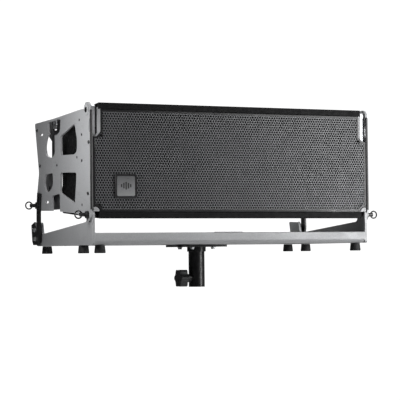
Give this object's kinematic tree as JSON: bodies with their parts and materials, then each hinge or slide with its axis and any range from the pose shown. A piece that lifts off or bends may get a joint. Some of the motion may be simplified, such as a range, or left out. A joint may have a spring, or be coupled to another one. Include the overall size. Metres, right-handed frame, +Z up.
{
  "type": "pa speaker cabinet",
  "caption": "Wedge-sided line-array loudspeaker cabinet with steel rigging plates, pinned to a flat stacking frame with a pole socket and clamp knob.",
  "frame": {"origin": "pole axis at the face inside the socket that the pole's top bears on", "axes": "+X to the cabinet's right seen from the front, +Y to the rear, +Z up along the pole"},
  "size_m": [0.8576, 0.4136, 0.455],
  "materials": {
    "painted_steel": "light grey textured powder coat, worn at the edges",
    "black_paint": "plywood with black textured paint",
    "black_steel": "black powder coat",
    "grille_steel": "dark grey powder-coated perforated sheet",
    "zinc": "zinc plated",
    "cast_alloy": "as cast",
    "ferrite": "dark ferrite and blackened steel",
    "rubber": "matte",
    "foam": "open-cell acoustic foam",
    "plastic": "moulded, fine grain",
    "paper": "coated paper cone",
    "badge_metal": "satin with a soft gradient",
    "circuit_board": "green solder mask",
    "brass": "turned"
  },
  "bodies": {
    "frame": {"front_rail": "painted_steel", "rear_rail": "painted_steel", "centre_spine": "painted_steel", "side_rail_left": "painted_steel", "side_rail_right": "painted_steel", "rear_bracket_left": "black_steel", "rear_bracket_right": "black_steel", "pole_socket": "black_steel", "foot_front_left": "rubber", "foot_front_right": "rubber", "foot_middle_left": "rubber", "foot_middle_right": "rubber", "foot_rear_left": "rubber", "foot_rear_right": "rubber"},
    "cabinet": {"top_panel": "black_paint", "bottom_panel": "black_paint", "side_panel_left": "black_paint", "side_panel_right": "black_paint", "back_panel": "black_paint", "baffle": "black_paint", "grille": "grille_steel", "grille_foam": "foam", "badge": "badge_metal", "woofer_basket_left": "cast_alloy", "woofer_magnet_left": "ferrite", "woofer_surround_left": "rubber", "woofer_basket_right": "cast_alloy", "woofer_magnet_right": "ferrite", "woofer_surround_right": "rubber", "waveguide": "plastic", "compression_driver": "ferrite", "amp_panel": "black_steel", "amp_chassis": "zinc", "amplifier_board": "circuit_board", "power_inlet": "plastic", "power_link": "plastic", "xlr_input": "zinc", "xlr_link": "zinc", "rigging_plate_left": "painted_steel", "rigging_plate_right": "painted_steel"},
    "clamp_knob": {"clamp_knob": "plastic"},
    "clamp_pad": {"clamp_pad": "brass"},
    "level_knob": {"level_knob": "plastic"},
    "setup_button": {"setup_button": "plastic"},
    "power_rocker": {"power_rocker": "plastic"},
    "woofer_cone_left": {"woofer_cone_left": "paper"},
    "front_link_left": {"front_link_left": "zinc"},
    "rear_link_left": {"rear_link_left": "black_steel"},
    "front_pin_left": {"front_pin_left": "black_steel"},
    "rear_pin_left": {"rear_pin_left": "black_steel"},
    "front_pull_ring_left": {"front_pull_ring_left": "black_steel"},
    "rear_pull_ring_left": {"rear_pull_ring_left": "black_steel"},
    "woofer_cone_right": {"woofer_cone_right": "paper"},
    "front_link_right": {"front_link_right": "zinc"},
    "rear_link_right": {"rear_link_right": "black_steel"},
    "front_pin_right": {"front_pin_right": "black_steel"},
    "rear_pin_right": {"rear_pin_right": "black_steel"},
    "front_pull_ring_right": {"front_pull_ring_right": "black_steel"},
    "rear_pull_ring_right": {"rear_pull_ring_right": "black_steel"}
  },
  "joints": [
    {"name": "cabinet_tilt", "type": "hinge", "parent": "frame", "child": "cabinet", "pos_m": [0, -0.211, 0.082], "axis": [1, 0, 0], "range_deg": [-3, 3]},
    {"name": "woofer_stroke_left", "type": "slide", "parent": "cabinet", "child": "woofer_cone_left", "axis": [0, -1, 0], "range_m": [-0.0035, 0.0035], "stiffness_N_per_m": 2500},
    {"name": "front_link_slide_left", "type": "slide", "parent": "cabinet", "child": "front_link_left", "axis": [0, 0, 1], "range_m": [0, 0.06]},
    {"name": "rear_link_slide_left", "type": "slide", "parent": "cabinet", "child": "rear_link_left", "axis": [0, 0, 1], "range_m": [0, 0.06]},
    {"name": "front_pin_pull_left", "type": "slide", "parent": "cabinet", "child": "front_pin_left", "axis": [-1, 0, 0], "range_m": [0, 0.045]},
    {"name": "front_ring_swing_left", "type": "hinge", "parent": "front_pin_left", "child": "front_pull_ring_left", "pos_m": [-0.4044, -0.211, 0.082], "axis": [0, 0, 1], "range_deg": [-60, 60]},
    {"name": "rear_pin_pull_left", "type": "slide", "parent": "cabinet", "child": "rear_pin_left", "axis": [-1, 0, 0], "range_m": [0, 0.045]},
    {"name": "rear_ring_swing_left", "type": "hinge", "parent": "rear_pin_left", "child": "rear_pull_ring_left", "pos_m": [-0.4096, 0.123, 0.114], "axis": [0, 0, 1], "range_deg": [-60, 60]},
    {"name": "woofer_stroke_right", "type": "slide", "parent": "cabinet", "child": "woofer_cone_right", "axis": [0, -1, 0], "range_m": [-0.0035, 0.0035], "stiffness_N_per_m": 2500},
    {"name": "front_link_slide_right", "type": "slide", "parent": "cabinet", "child": "front_link_right", "axis": [0, 0, 1], "range_m": [0, 0.06]},
    {"name": "rear_link_slide_right", "type": "slide", "parent": "cabinet", "child": "rear_link_right", "axis": [0, 0, 1], "range_m": [0, 0.06]},
    {"name": "front_pin_pull_right", "type": "slide", "parent": "cabinet", "child": "front_pin_right", "axis": [1, 0, 0], "range_m": [0, 0.045]},
    {"name": "front_ring_swing_right", "type": "hinge", "parent": "front_pin_right", "child": "front_pull_ring_right", "pos_m": [0.4044, -0.211, 0.082], "axis": [0, 0, 1], "range_deg": [-60, 60]},
    {"name": "rear_pin_pull_right", "type": "slide", "parent": "cabinet", "child": "rear_pin_right", "axis": [1, 0, 0], "range_m": [0, 0.045]},
    {"name": "rear_ring_swing_right", "type": "hinge", "parent": "rear_pin_right", "child": "rear_pull_ring_right", "pos_m": [0.4096, 0.123, 0.114], "axis": [0, 0, 1], "range_deg": [-60, 60]},
    {"name": "clamp_knob_turn", "type": "hinge", "parent": "frame", "child": "clamp_knob", "pos_m": [-0.04, 0, -0.078], "axis": [-1, 0, 0], "range_deg": [0, 360]},
    {"name": "clamp_pad_press", "type": "slide", "parent": "frame", "child": "clamp_pad", "axis": [1, 0, 0], "range_m": [0, 0.0008]},
    {"name": "level_knob_turn", "type": "hinge", "parent": "cabinet", "child": "level_knob", "pos_m": [0.149, 0.155, 0.24], "axis": [0, 1, 0], "range_deg": [-150, 150]},
    {"name": "setup_button_press", "type": "slide", "parent": "cabinet", "child": "setup_button", "axis": [0, -1, 0], "range_m": [0, 0.0015], "stiffness_N_per_m": 400},
    {"name": "power_rocker_tip", "type": "hinge", "parent": "cabinet", "child": "power_rocker", "pos_m": [0.04, 0.1518, 0.212], "axis": [1, 0, 0], "range_deg": [-16, 0]}
  ],
  "couplings": [
    {"joint": "clamp_pad_press", "follows": "clamp_knob_turn", "m_per_rad": 0.00012}
  ]
}
